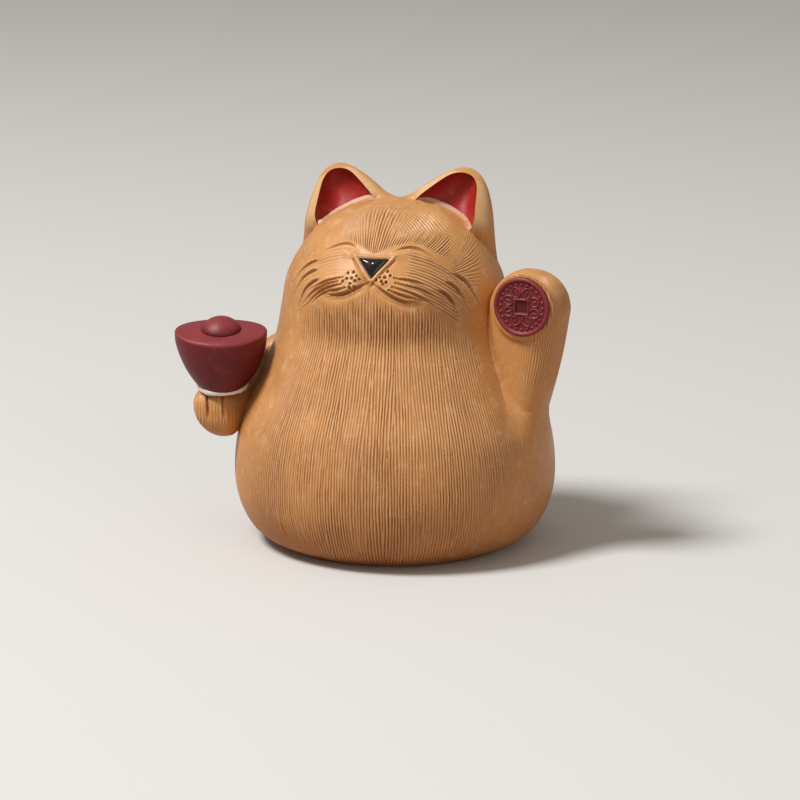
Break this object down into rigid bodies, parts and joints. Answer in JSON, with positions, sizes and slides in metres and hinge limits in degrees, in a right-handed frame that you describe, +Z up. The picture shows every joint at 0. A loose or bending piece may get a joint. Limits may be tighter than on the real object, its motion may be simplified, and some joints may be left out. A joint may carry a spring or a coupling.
{
  "type": "tea pet figurine",
  "caption": "Hollow fired-clay beckoning cat with combed fur, one raised paw holding a coin and the other paw holding a boat-shaped ingot; rests on a tea tray.",
  "frame": {"origin": "middle of the foot, on the surface that the figure stands on", "axes": "+Z up; the cat faces -Y, so its left (raised) paw is on +X and its right paw with the ingot is on -X"},
  "size_m": [0.0777, 0.0705, 0.0745],
  "materials": {
    "clay": "unglazed fired clay, satin, combed",
    "red_slip": "matt red slip",
    "maroon_clay": "unglazed dark red clay",
    "white_slip": "matt white slip",
    "black_glaze": "gloss black glaze"
  },
  "bodies": {
    "root": {"body_front_half": "clay", "body_back_half": "clay", "base_disc": "clay", "left_ear": "clay", "right_ear": "clay", "left_ear_lining": "red_slip", "right_ear_lining": "red_slip", "nose": "black_glaze", "raised_arm": "clay", "ingot_arm": "clay", "ingot": "maroon_clay", "ingot_dome": "maroon_clay", "slip_ring": "white_slip", "coin": "maroon_clay", "tail": "clay"}
  },
  "joints": []
}
